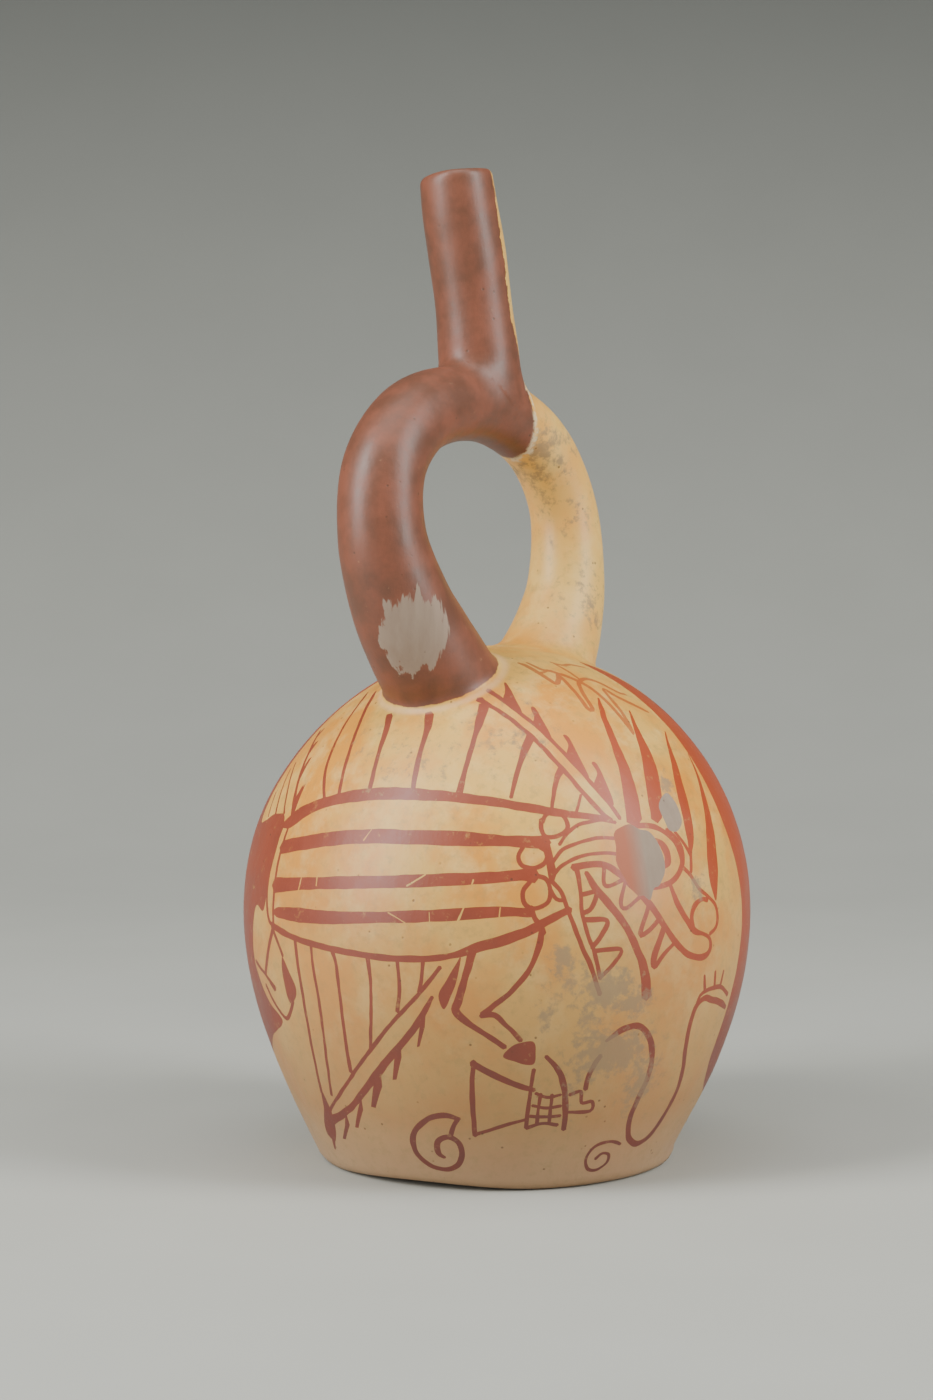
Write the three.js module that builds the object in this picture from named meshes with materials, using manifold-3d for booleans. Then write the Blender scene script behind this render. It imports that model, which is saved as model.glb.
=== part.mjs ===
// Stirrup spout bottle: a hollow, round-bodied bottle of fired clay with a tubular two-legged handle (the
// stirrup) that carries one spout. The body was pressed in a mould, the tubes were rolled round a dowel,
// everything was luted together while the clay was leather-hard and fired in one piece. So the whole
// bottle is one solid, and its inside is one hollow that opens only at the lip of the spout.
//
// Frame: millimetres, +Z up, origin on the ground under the centre of the base. The stirrup stands over
// the X axis, with its thicker leg at -X and its thinner leg at +X, and leans a little to +Y.

import * as THREE from "three";
import { mergeVertices } from "three/addons/utils/BufferGeometryUtils.js";
import Module from "manifold-3d";

// Body, a surface of revolution
const BELLY_RADIUS = 74.3;
const BELLY_HEIGHT = 72.8; // of the widest circle above the ground
const DOME_RISE = 77; // from the widest circle to the top of the body
const FLANK_FOOT_RADIUS = 52.8; // where the flank meets the rounded edge of the base
const FLANK_SLOPE = THREE.MathUtils.degToRad(26); // of the flank at its foot, from upright
const FLANK_REACH = 26; // how far the flank keeps its direction, at its foot and at the belly
const FOOT_ROUND = 3.6; // radius of the edge of the base
const BODY_WALL = 5;
const BASE_THICKNESS = 6.5;

// Stirrup and spout, laid out in a plane through the axis of the body. The plane leans to +Y about a
// level line through the top of the body. The handle was bent by hand, so both tubes are given by
// stations: distance across, distance up the plane, outer radius.
const PLANE_LEAN = THREE.MathUtils.degToRad(5);
const PLANE_FOOT = 146; // height of the level line
const TUBE_WALL = 3.8;
const STIRRUP_STATIONS = [
  [-19, -14, 16.5],
  [-28.8, -3, 16.3],
  [-37.4, 8, 15.6],
  [-44.1, 18.5, 14.6],
  [-50.9, 38.6, 12.7],
  [-47.8, 57.2, 12],
  [-33.7, 70.2, 11.6],
  [-12.7, 74.5, 11.1],
  [9.2, 71.2, 10.3],
  [28.9, 60.1, 10.1],
  [38.8, 42, 10.2],
  [37.7, 19.8, 11.7],
  [32.6, 8.3, 13],
  [24.1, -2.9, 14.6],
  [13, -12.5, 16],
];
const SPOUT_STATIONS = [
  [2.3, 72, 10.4],
  [1.9, 79, 11.7],
  [1.4, 88, 11.9],
  [0.6, 102, 11.3],
  [-1, 118.7, 11.4],
  [-2.8, 130.3, 11.1],
];
const SPOUT_TOP = [-3.5, 141.6, 10.7]; // the lip, as another station
const LIP_ROUND = 1.8; // how far both edges of the lip are rounded across the wall
const LIP_FALL = 2.8; // and how far down it

// Fineness of the facets
const BODY_SIDES = 64;
const HOLLOW_SIDES = 48;
const TUBE_SIDES = 24;
const BORE_SIDES = 16;

const wasm = await Module();
wasm.setup();

// A closed three.js geometry as a manifold-3d solid.
function solidOf(geometry) {
  const bare = geometry.clone();
  bare.deleteAttribute("normal");
  bare.deleteAttribute("uv");
  const merged = mergeVertices(bare, 1e-4);
  const mesh = new wasm.Mesh({
    numProp: 3,
    vertProperties: merged.attributes.position.array,
    triVerts: new Uint32Array(merged.index.array),
  });
  return new wasm.Manifold(mesh);
}

// A manifold-3d solid as a three.js geometry.
function geometryOf(solid) {
  const mesh = solid.getMesh();
  const geometry = new THREE.BufferGeometry();
  geometry.setAttribute("position", new THREE.BufferAttribute(mesh.vertProperties, 3));
  geometry.setIndex(new THREE.BufferAttribute(mesh.triVerts, 1));
  geometry.computeVertexNormals();
  return geometry;
}

// Points of an elliptical arc in the plane of (radius, height).
function arcPoints(centreRadius, centreHeight, across, up, from, to, steps) {
  const points = [];
  for (let i = 0; i <= steps; i++) {
    const angle = THREE.MathUtils.lerp(from, to, i / steps);
    points.push(
      new THREE.Vector2(centreRadius + across * Math.cos(angle), centreHeight + up * Math.sin(angle)),
    );
  }
  return points;
}

// The flank from the foot to the belly, moved inwards by `inset`.
function flankPoints(inset, steps) {
  const foot = new THREE.Vector2(FLANK_FOOT_RADIUS, FOOT_ROUND * (1 - Math.sin(FLANK_SLOPE)));
  const belly = new THREE.Vector2(BELLY_RADIUS, BELLY_HEIGHT);
  const slope = new THREE.Vector2(Math.sin(FLANK_SLOPE), Math.cos(FLANK_SLOPE));
  const aboveFoot = foot.clone().addScaledVector(slope, FLANK_REACH);
  const belowBelly = new THREE.Vector2(BELLY_RADIUS, BELLY_HEIGHT - FLANK_REACH);
  const flank = new THREE.CubicBezierCurve(foot, aboveFoot, belowBelly, belly);
  const points = [];
  for (let i = 0; i <= steps; i++) {
    const along = flank.getTangent(i / steps);
    const inwards = new THREE.Vector2(-along.y, along.x).multiplyScalar(inset);
    points.push(flank.getPoint(i / steps).add(inwards));
  }
  return points;
}

// The dome from the belly to the axis, moved inwards by `inset`.
function domePoints(inset, steps) {
  const points = arcPoints(0, BELLY_HEIGHT, BELLY_RADIUS - inset, DOME_RISE - inset, 0, Math.PI / 2, steps);
  points[steps].x = 0;
  return points;
}

// Outside of the body, with the flat underside and its rounded edge.
function bodyOutside() {
  const edgeCentre = FLANK_FOOT_RADIUS - FOOT_ROUND * Math.cos(FLANK_SLOPE);
  const outline = [
    new THREE.Vector2(0, 0),
    ...arcPoints(edgeCentre, FOOT_ROUND, FOOT_ROUND, FOOT_ROUND, -Math.PI / 2, -FLANK_SLOPE, 3).slice(0, -1),
    ...flankPoints(0, 12),
    ...domePoints(0, 12).slice(1),
  ];
  outline[1].y = 0;
  return new THREE.LatheGeometry(outline, BODY_SIDES).rotateX(Math.PI / 2);
}

// Hollow of the body, with a flat floor.
function bodyHollow() {
  const wall = flankPoints(BODY_WALL, 8).filter((point) => point.y > BASE_THICKNESS + 2);
  const outline = [
    new THREE.Vector2(0, BASE_THICKNESS),
    new THREE.Vector2(wall[0].x - 4, BASE_THICKNESS),
    ...wall,
    ...domePoints(BODY_WALL, 8).slice(1),
  ];
  return new THREE.LatheGeometry(outline, HOLLOW_SIDES).rotateX(Math.PI / 2);
}

// A closed solid tube through stations, with `rings` cross-sections from one station to the next. Every
// cross-section is a circle square to the path, and `wall` is taken off every radius.
function tubeThrough(stations, wall, sides, rings) {
  const leanSine = Math.sin(PLANE_LEAN);
  const leanCosine = Math.cos(PLANE_LEAN);
  const planeNormal = new THREE.Vector3(0, leanCosine, -leanSine);
  const places = stations.map(
    ([across, up]) => new THREE.Vector3(across, up * leanSine, PLANE_FOOT + up * leanCosine),
  );
  const path = new THREE.CatmullRomCurve3(places, false, "centripetal");
  const last = (stations.length - 1) * rings;
  const position = [];
  for (let ring = 0; ring <= last; ring++) {
    const before = Math.min(Math.floor(ring / rings), stations.length - 2);
    const between = ring / rings - before;
    const radius = THREE.MathUtils.lerp(stations[before][2], stations[before + 1][2], between) - wall;
    const centre = path.getPoint(ring / last);
    const outwards = new THREE.Vector3().crossVectors(planeNormal, path.getTangent(ring / last));
    for (let side = 0; side < sides; side++) {
      const angle = (side / sides) * 2 * Math.PI;
      const corner = centre.clone();
      corner.addScaledVector(outwards, radius * Math.cos(angle));
      corner.addScaledVector(planeNormal, radius * Math.sin(angle));
      position.push(corner.x, corner.y, corner.z);
    }
  }
  const index = [];
  for (let side = 0; side < sides; side++) {
    const next = (side + 1) % sides;
    for (let ring = 0; ring < last; ring++) {
      const below = ring * sides;
      const above = below + sides;
      index.push(below + side, below + next, above + side, below + next, above + next, above + side);
    }
  }
  const end = last * sides;
  for (let side = 1; side < sides - 1; side++) {
    index.push(0, side + 1, side, end, end + side, end + side + 1);
  }
  const geometry = new THREE.BufferGeometry();
  geometry.setAttribute("position", new THREE.Float32BufferAttribute(position, 3));
  geometry.setIndex(index);
  return geometry;
}

// The last stations of the spout. `turn` is -1 for the outside, whose edge is rounded inwards, and +1 for
// the bore, whose edge is rounded outwards.
function lipStations(turn) {
  const [across, up, radius] = SPOUT_TOP;
  return arcPoints(0, 0, 1, 1, 0, Math.PI / 2, 3).map((place) => [
    across,
    up - LIP_FALL * (1 - place.y),
    radius + turn * LIP_ROUND * (1 - place.x),
  ]);
}

// The three tubes and their bores. The bores begin and end inside one another and inside the body's
// hollow, and the spout's bore runs out above the lip.
const spoutBoreEnd = [SPOUT_TOP[0], SPOUT_TOP[1] + 3, SPOUT_TOP[2] + LIP_ROUND];
const outside = wasm.Manifold.union([
  solidOf(bodyOutside()),
  solidOf(tubeThrough(STIRRUP_STATIONS, 0, TUBE_SIDES, 3)),
  solidOf(tubeThrough([...SPOUT_STATIONS, ...lipStations(-1)], 0, TUBE_SIDES, 1)),
]);
const hollow = wasm.Manifold.union([
  solidOf(bodyHollow()),
  solidOf(tubeThrough(STIRRUP_STATIONS, TUBE_WALL, BORE_SIDES, 3)),
  solidOf(tubeThrough([...SPOUT_STATIONS, ...lipStations(1), spoutBoreEnd], TUBE_WALL, BORE_SIDES, 1)),
]);
const bottle = new THREE.Mesh(
  geometryOf(outside.subtract(hollow)),
  new THREE.MeshStandardMaterial({ name: "slip_painted_clay", color: 0xb9906a, roughness: 0.55, metalness: 0 }),
);
bottle.name = "stirrup_bottle";

const root = new THREE.Group();
root.name = "stirrup_spout_bottle";
root.add(bottle);
export default root;
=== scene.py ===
import math
from random import Random

import bmesh
import bpy
import numpy as np
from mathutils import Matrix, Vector, kdtree, noise
from mathutils.geometry import delaunay_2d_cdt


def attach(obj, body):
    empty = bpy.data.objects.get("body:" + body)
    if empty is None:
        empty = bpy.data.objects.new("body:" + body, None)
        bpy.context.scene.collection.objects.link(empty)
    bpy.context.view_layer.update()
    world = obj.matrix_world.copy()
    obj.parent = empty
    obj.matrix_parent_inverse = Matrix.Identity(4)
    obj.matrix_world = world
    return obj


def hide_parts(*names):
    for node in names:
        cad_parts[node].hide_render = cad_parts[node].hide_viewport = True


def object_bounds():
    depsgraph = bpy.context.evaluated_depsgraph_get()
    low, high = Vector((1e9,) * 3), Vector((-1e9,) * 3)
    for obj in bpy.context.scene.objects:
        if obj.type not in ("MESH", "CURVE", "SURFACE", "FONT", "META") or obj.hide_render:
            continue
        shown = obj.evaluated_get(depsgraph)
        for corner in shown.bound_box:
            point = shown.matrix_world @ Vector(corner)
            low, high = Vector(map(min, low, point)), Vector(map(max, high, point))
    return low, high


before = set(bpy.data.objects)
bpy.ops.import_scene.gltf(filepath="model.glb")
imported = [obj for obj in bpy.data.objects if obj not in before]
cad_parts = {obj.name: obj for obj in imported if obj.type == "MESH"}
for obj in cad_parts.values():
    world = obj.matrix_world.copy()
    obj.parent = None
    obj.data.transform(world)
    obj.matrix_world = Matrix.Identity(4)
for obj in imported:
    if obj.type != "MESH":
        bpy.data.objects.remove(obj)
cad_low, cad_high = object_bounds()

MM = 0.001


# ---- Body ------------------------------------------------------------------------------------------
# A round body of fired earthenware, pressed in a two-part mould and scraped even by hand. Its wall runs
# from a flat base up a steep flank to a domed shoulder that closes over the top.

belly_radius = cad_high.x / MM
belly_height = 72.8
dome_rise = 77.0
flank_foot_radius = 52.8
flank_slope = math.radians(26)
flank_reach = 26.0
foot_round = 3.6
flank_steps = 120
dome_steps = 239


def bezier(points, steps):
    """Points along one cubic curve, its start left out."""
    t = np.linspace(0, 1, steps + 1)[1:, None]
    a, b, c, d = (np.array(p, float) for p in points)
    return (1 - t) ** 3 * a + 3 * (1 - t) ** 2 * t * b + 3 * (1 - t) * t**2 * c + t**3 * d


def wall_profile():
    """The wall from the edge of the underside to the top of the dome, as (radius, height) in mm."""
    edge_centre = flank_foot_radius - foot_round * math.cos(flank_slope)
    angle = np.linspace(-math.pi / 2, -flank_slope, 12)
    edge = np.stack([edge_centre + foot_round * np.cos(angle), foot_round * (1 + np.sin(angle))], 1)
    slope = np.array([math.sin(flank_slope), math.cos(flank_slope)])
    belly = np.array([belly_radius, belly_height])
    flank = bezier([edge[-1], edge[-1] + flank_reach * slope, belly - [0, flank_reach], belly], flank_steps)
    angle = np.linspace(0, math.pi / 2, dome_steps + 1)[1:]
    dome = np.stack([belly_radius * np.cos(angle), belly_height + dome_rise * np.sin(angle)], 1)
    return np.concatenate([edge, flank, dome])


profile = wall_profile()
rise_at = np.concatenate([[0], np.cumsum(np.linalg.norm(np.diff(profile, axis=0), axis=1))])
top_rise = rise_at[-1]


def wall_radius(rise):
    return np.interp(rise, rise_at, profile[:, 0])


# A place on the wall is (turn, rise): degrees round the body, counted to the right from the middle of
# the painted front, and millimetres up the wall from the underside.
front = math.radians(-144)


def on_wall(turn, rise):
    """Points of the wall, in mm, at arrays of turn and rise."""
    angle = front + np.radians(turn)
    radius = wall_radius(rise)
    height = np.interp(rise, rise_at, profile[:, 1])
    return np.stack([radius * np.cos(angle), radius * np.sin(angle), height], -1)


# ---- Painting --------------------------------------------------------------------------------------
# With a fine brush and red-brown slip the painter drew a traditional shell creature on the cream slip,
# once on the front and once, more plainly, on the back. Each stroke is laid into the wall's own faces,
# so it is quite flat.

seam = 95.0  # degrees, where the wall is cut to unroll it, in the middle of a broad red field
sheet_scale = math.pi / 180 * belly_radius  # mm of unrolled wall for each degree
hand = Random(7)


def flowing_line(points, closed=False, step=0.9):
    """A smooth curve through a few (turn, rise, width) points, as (x, rise, width) in sheet mm."""
    p = np.array([(turn * sheet_scale, rise, width) for turn, rise, width in points])
    if closed:
        p = np.concatenate([p[-1:], p, p[:2]])
    else:
        p = np.concatenate([2 * p[:1] - p[1:2], p, 2 * p[-1:] - p[-2:-1]])
    line = []
    for a, b, c, d in zip(p, p[1:], p[2:], p[3:]):
        t = np.linspace(0, 1, max(2, math.ceil(np.linalg.norm((c - b)[:2]) / step)), endpoint=False)[:, None]
        curve = 2 * b + (c - a) * t + (2 * a - 5 * b + 4 * c - d) * t**2 + (3 * b - a - 3 * c + d) * t**3
        line.append(curve / 2)
    return np.concatenate(line if closed else line + [p[-2:-1]])


def squeeze(rise):
    """How much narrower the wall is at this rise than the sheet that it unrolls to."""
    return np.maximum(wall_radius(rise), 4) / belly_radius


def tremor(count, amount=0.1):
    """How far the hand strays, in mm, at each of count points along an edge."""
    start = hand.uniform(0, 900)
    return np.array([noise.noise((start + i / 4, 0.3, 0.7)) * 2 * amount for i in range(count)])


def stroke(width, *points):
    """The outline of one brush stroke. A point is (turn, rise), or (turn, rise, width) where it swells."""
    line = flowing_line([(*p, width) if len(p) == 2 else p for p in points])
    narrow = squeeze(line[:, 1])
    along = np.gradient(line[:, :2] * np.stack([narrow, np.ones_like(narrow)], 1), axis=0)
    along /= np.linalg.norm(along, axis=1)[:, None] + 1e-9
    across = np.stack([-along[:, 1] / narrow, along[:, 0]], 1)
    half = line[:, 2:] / 2
    left = line[:, :2] + across * (half + tremor(len(line))[:, None])
    right = line[:, :2] - across * (half + tremor(len(line))[:, None])
    tip = np.stack([along[:, 0] / narrow, along[:, 1]], 1) * half * 0.7
    return np.concatenate([line[:1, :2] - tip[:1], right, line[-1:, :2] + tip[-1:], left[::-1]])


def field(*points):
    """The outline of a filled shape with a flowing edge."""
    line = flowing_line([(*p, 0) for p in points], closed=True)
    return line[:, :2] + np.stack([tremor(len(line)) / squeeze(line[:, 1]), tremor(len(line))], 1)


def corners(*points):
    """The outline of a filled shape with sharp corners."""
    sides = [flowing_line([(*a, 0), (*b, 0)])[:-1, :2] for a, b in zip(points, points[1:] + points[:1])]
    return np.concatenate(sides)


painting = []  # (tone of slip, outline), each over those before it
CREAM, RED, THIN, FILLER = 0.0, 1.0, 0.75, 2.0


def paint(tone, *outlines, both_sides=True):
    for outline in outlines:
        for turned in (0, 180, -180) if both_sides else (0,):
            painting.append((tone, outline + [turned * sheet_scale, 0]))


# The mouth of the shell, a broad red field behind the creature
paint(RED, field(
    (-63, 109.5), (-70, 110.5), (-76, 107.5), (-81, 108), (-84.5, 128), (-88, 152), (-93, 168),
    (-98, 173), (-103, 170), (-106, 157), (-108.5, 140), (-110, 125), (-110.5, 110), (-109.5, 95),
    (-109, 80), (-110.5, 66), (-112.5, 50), (-113, 38), (-109, 29), (-100, 24), (-90, 27), (-81, 36),
    (-71, 44), (-60.5, 51), (-66, 56), (-71.5, 66), (-71.5, 76), (-69, 83.5), (-64.5, 83), (-63, 92),
))
paint(RED,
    stroke(1.6, (-59.5, 78.5), (-62.5, 71), (-65, 64.5)),
    stroke(1.3, (-71, 67), (-68, 65.5), (-65, 64), (-61, 60.8, 2.2)),
    stroke(1.3, (-66, 61), (-63, 56.5), (-58.5, 52.5), (-55.5, 55), (-53.5, 58.5)),
    stroke(1.2, (-59.5, 78.5), (-57, 74.5), (-55.5, 71.5)),
    field((-56, 71), (-53.3, 67), (-51.5, 62.5), (-52.8, 59), (-55, 57.8), (-56.2, 63)),
)

# The striped shell
paint(RED,
    stroke(3, (-63, 108, 1.5), (-59.5, 110, 4.6), (-55, 113.5, 4.2), (-48, 117.2, 3.4), (-40, 119.8, 3.8),
           (-30, 121.6, 3.8), (-20, 121.9, 3.6), (-10, 121.4, 3), (0, 120, 2.8), (10, 117.8, 2.6),
           (18, 116, 2.2), (26, 114.6, 1.4)),
    stroke(1.2, (-62.5, 109), (-63.3, 99), (-63.3, 91), (-62.6, 84.5), (-61.2, 80.6), (-59, 79.4)),
    stroke(1.2, (-59.8, 108.5), (-60.1, 96), (-59.6, 86), (-59.2, 79.5)),
    stroke(4.2, (-60, 102), (-50, 104.9), (-40, 107.4), (-30, 108.9), (-20, 109.3), (-8, 109.4),
           (2, 108.8, 3.2), (11, 108.3, 4)),
    stroke(3.6, (-60, 91, 4.6), (-50, 93), (-40, 94.6), (-28, 96.1), (-15, 97.5), (0, 98.8, 3.2),
           (5, 99.3, 3.2), (8, 99, 4.2)),
    stroke(3.4, (-59.5, 83.4, 0.8), (-57, 83.7, 3), (-50, 84.2, 4.2), (-40, 84.9, 3.8), (-28, 86.3, 3.2),
           (-14, 87.8), (0, 89.2, 2.9), (7, 88.8, 2.4)),
    stroke(1.9, (-60, 79.6, 2.2), (-50, 77.4), (-38, 76.1), (-26, 75.3), (-15, 75.8), (-9, 77.3),
           (-4, 79.6, 3), (1, 81.4, 3), (6, 83.7, 2.8), (11, 86.9, 2.4), (15.5, 89.5, 1.8)),
)

# The round cells where the neck comes out of the shell
paint(RED,
    stroke(1.3, (10.3, 115), (10, 112), (11, 109.8), (14, 110), (16.4, 112), (16, 115.4), (13.5, 116.8),
           (11.3, 116), (10.3, 114)),
    stroke(1.3, (5.5, 107), (4.4, 104.5), (5.2, 101.8), (8, 101.2), (10.3, 102.6), (10.8, 105.5), (9.4, 107)),
    stroke(1.3, (6.8, 97.5), (5.2, 94.8), (5.5, 91.5), (7.5, 90), (10.5, 91.5), (11.2, 95), (10.4, 98),
           (8.4, 99)),
    stroke(1.4, (7, 90.5), (7.6, 87.5), (9, 85), (9.6, 83)),
    stroke(2.4, (10.6, 110), (11.2, 105), (11.8, 100), (11.6, 97.6, 1.6)),
    stroke(1.4, (11.6, 97.6), (13.5, 94.6), (14.7, 90.5), (16, 85.5), (18, 79), (20, 73.5), (22.5, 65)),
    stroke(1.2, (11, 95.5), (12.5, 92.5), (14.5, 92)),
)

# Rays on top of the shell, each brushed from the outside in
paint(RED,
    stroke(1.3, (-75, 156, 1), (-69.5, 152.5, 1.6), (-64, 146), (-59, 137), (-54, 126), (-49, 117.5)),
    stroke(1.4, (-67, 157, 1), (-62, 153.5, 1.8), (-56, 147, 1.6), (-51, 139), (-47.5, 130), (-44.5, 119.5)),
    stroke(1.6, (-42, 147.8, 2.6), (-39.5, 143, 2.4), (-37.6, 136), (-36, 128), (-35, 121.5)),
    stroke(1.6, (-25.7, 149.5, 2.8), (-24.3, 145, 2.6), (-23.7, 140), (-23.2, 131), (-22.5, 122.5)),
    stroke(1.6, (-5.6, 154, 3), (-6.2, 149, 2.8), (-7.6, 141), (-9.2, 130), (-10.2, 122.5, 2)),
    stroke(1.5, (10.4, 141.6, 2.8), (8.4, 138, 2.4), (5.2, 130), (3, 121.5, 1.1)),
    stroke(1.2, (17.6, 130, 2), (15.6, 127, 1.6), (13.8, 121), (13, 117, 1)),
    corners((19.4, 116), (21.8, 122), (21, 122), (18.9, 117)),
)

# The toothed bars: one on the shoulder, one hanging from the belly of the shell
paint(RED,
    stroke(1.5, (-8, 156.4, 2.4), (-4, 154), (2, 150), (7, 145.4), (12, 139.5), (17, 131.5), (22, 122.6),
           (25.5, 116.5), (28, 113.5)),
    stroke(1.4, (-4.5, 160.6, 1.8), (0, 157.5), (5, 153.2), (10, 148.4), (15, 142.4), (20, 134.3),
           (25, 125.3), (29, 117.6), (30.5, 114)),
    field((2.2, 156.4), (3.2, 160), (3.3, 164.6), (4.6, 163.6), (7, 157.4), (8.8, 150.6), (5, 153.4)),
    field((11.8, 146.2), (12.9, 149), (12.6, 152.8), (14.2, 152.4), (15.6, 147), (16.8, 140.8), (13.6, 144)),
    field((20.2, 134.6), (21.6, 138), (21, 141.4), (22.8, 140.6), (23.7, 134), (24.8, 127), (22, 131)),
    field((25.6, 124.6), (27.6, 128), (27, 131.6), (28.6, 131), (29.4, 124.6), (29.7, 118), (27, 122)),
    stroke(1.2, (-12.6, 73.6), (-18, 65), (-24, 57), (-31, 47.4), (-38, 38.4), (-44, 31.6), (-50, 25.6),
           (-55, 20)),
    stroke(2, (-14.5, 65, 1), (-18, 57.4), (-22, 51), (-27, 44.4, 2.4), (-33, 36.6, 2.4), (-40, 28.8, 2),
           (-46, 24.2, 2.4), (-51, 21.4, 2.8), (-55, 19.4, 3)),
    corners((-16, 62), (-17.6, 57), (-18.9, 49.6), (-18.2, 50), (-16.6, 56)),
    corners((-22.6, 51.5), (-24.8, 46), (-26.3, 38.6), (-25.2, 38.8), (-23, 46)),
    corners((-29, 42), (-31.8, 37), (-34.6, 28.6), (-33.2, 28.4), (-29.6, 36)),
    corners((-37, 31.5), (-39.6, 26.6), (-42.9, 20.2), (-41.6, 20.2), (-37.6, 27)),
    corners((-44.5, 25.4), (-47, 20), (-50.6, 14.8), (-49.2, 14.8), (-44.8, 20.6)),
    field((-52, 31), (-54, 24.6), (-57.2, 19), (-58.2, 14.8), (-55.4, 13), (-52.6, 17), (-51, 22), (-51, 27)),
    stroke(1.2, (-55.6, 14, 2), (-57.8, 9.8, 0.8)),
    field((-8.2, 76.6), (-11.2, 70), (-13.2, 65.4), (-12, 61.4), (-10.2, 66), (-8.8, 71.4)),
)

# Threads that hang from the shell
paint(RED,
    stroke(1.3, (-50.5, 77), (-49.9, 70), (-49.3, 60), (-49.5, 50), (-50.5, 40), (-52.2, 30)),
    stroke(1.1, (-45.2, 76.4), (-44.6, 68), (-44, 59), (-44.5, 49), (-46, 39), (-48, 30)),
    stroke(1.2, (-38.8, 76, 1.8), (-37.8, 71.5), (-37.4, 60), (-37.7, 49), (-38.2, 39.5, 1.5)),
    stroke(1.1, (-29.4, 75.8, 1.6), (-28.9, 68), (-29.6, 57), (-31, 47)),
    stroke(1.2, (-22.2, 75), (-22, 67), (-22.8, 60)),
    stroke(1.2, (-16.4, 75.4), (-16.8, 70), (-17.4, 66)),
)

# The creature's leg and foot
paint(RED,
    stroke(1.6, (9.2, 85.6, 1.4), (8.6, 80, 1.8), (6.4, 73), (2.6, 66.8), (-1.4, 62.6), (-3.6, 60, 2)),
    stroke(1.4, (-4, 59.8), (-1, 60, 1.8), (1.6, 57), (5, 52.4)),
    stroke(2, (-5.6, 78.4, 2.6), (-7.2, 71), (-8.8, 64, 2.4), (-9.4, 61, 2.4), (-6.8, 57.6),
           (-2.6, 54, 1.6), (1.4, 50.4, 1.6)),
    field((1, 47.4), (2.4, 50), (4.4, 51.6), (7.6, 52), (8.4, 49), (8, 45), (4.4, 45.6)),
)

# The creature's head: brow bands, jaw, eye, snout with a curled nose, and triangular teeth
paint(RED,
    stroke(1.1, (14, 107.5), (16.5, 111), (20, 113.2), (25, 113.9), (29, 113)),
    stroke(1.1, (12, 102.6), (14.6, 106), (19, 108), (24, 108.9), (29, 108.4)),
    stroke(1.1, (12, 99), (14.4, 101.8), (19, 104), (24, 104.6), (29, 103.6)),
    stroke(2, (16.6, 101), (20, 101.5), (24, 101.3), (27.5, 98.6), (31, 94.4), (35, 89, 2.2), (38.5, 83),
           (42, 77.4), (46, 73.6), (50, 72.1, 2), (52.6, 72.3), (54, 74.4, 1.5), (53.4, 77, 1.3), (51, 78.6, 1.2),
           (48, 80), (45.6, 83.2), (43, 88), (41.2, 94, 1.4)),
    stroke(1.6, (34, 111.4), (38, 111.2), (41.6, 109.8), (44.8, 106.4), (46.3, 102, 1.9), (45.6, 98.4, 1.7),
           (42.4, 95), (38.6, 93.8), (35, 94)),
    field((39.2, 107.4), (41.8, 106), (43, 102.6), (42.4, 99.6), (40.2, 98.6), (40.9, 102), (40.2, 105)),
    stroke(1.6, (43.6, 109.4), (46.6, 105.4), (47, 102), (46.2, 99)),
    stroke(1.2, (46, 108.6), (48.4, 104.4), (49.6, 101)),
    stroke(1.3, (45.8, 98.6), (48, 96), (50.4, 91.8), (53.4, 89), (56.2, 86), (57, 82, 1.5), (56, 79.6),
           (53.6, 78.2)),
    stroke(1.8, (47.6, 80.4), (47.1, 84), (48.4, 87), (51, 88.4, 1.4), (53.2, 88)),
    stroke(1.3, (48.6, 96.5), (49.4, 100), (50.4, 103.6)),
    stroke(1.2, (24, 100.4), (24, 95.4), (29.6, 97.2)),
    stroke(1.3, (29, 96.4), (27.4, 90.4), (28.6, 88.8), (32.4, 91.6)),
    stroke(1.5, (34.6, 89), (32, 81.4), (33.8, 81.6), (37, 84.6)),
    stroke(1.8, (38.8, 83), (35.9, 75, 2.2), (36, 71.6), (38.4, 74.6, 1.4), (42, 78, 1.2)),
)

# The bands that hang from the neck, with triangles between them
paint(RED,
    stroke(2.3, (19.6, 99.4, 1.4), (22, 94.2), (26, 88), (29, 82.4), (31.4, 76.4), (33.2, 71, 3),
           (34.4, 63, 3.4)),
    stroke(1.3, (17.4, 101.4, 1.8), (18, 95), (18.2, 88), (19.6, 81), (20.6, 78), (22.4, 69.6)),
    stroke(1.4, (18.2, 93.4), (21.6, 93.8), (20.4, 89.6), (18.4, 88.2)),
    stroke(1.5, (18.6, 86.4), (23.8, 85.8), (22.6, 82), (20.2, 78.6)),
    stroke(1.2, (20.6, 77.6), (27, 77.4), (25.4, 73.6), (22.2, 69.6)),
)

# Four tall plumes of the crest, broad at the head and drawn out to a point
paint(RED,
    stroke(4, (34.4, 113, 5.6), (35.4, 120, 5.2), (36.6, 128, 4.2), (37.6, 137, 3), (39.6, 145.5, 2.4),
           (42.4, 151, 2), (45.4, 155, 0.8)),
    stroke(4, (41.4, 113, 4.2), (43.8, 121, 6), (46.8, 130, 5.6), (49.4, 138, 3.4), (52, 143.5, 2),
           (55.8, 148.4, 0.7)),
    stroke(4, (49.6, 101.5, 1), (51.4, 107, 3.6), (53, 115, 4.6), (55.2, 123, 4.2), (58.6, 130, 2.6),
           (61.8, 135, 1.4), (66, 138.8, 0.6)),
    stroke(4, (56.6, 87.5, 1), (57, 94, 5), (58.4, 101, 5.6), (61.4, 109.5, 4.2), (64.6, 118, 2.6),
           (67.8, 125, 1.5), (70, 130, 0.8)),
)

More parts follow.
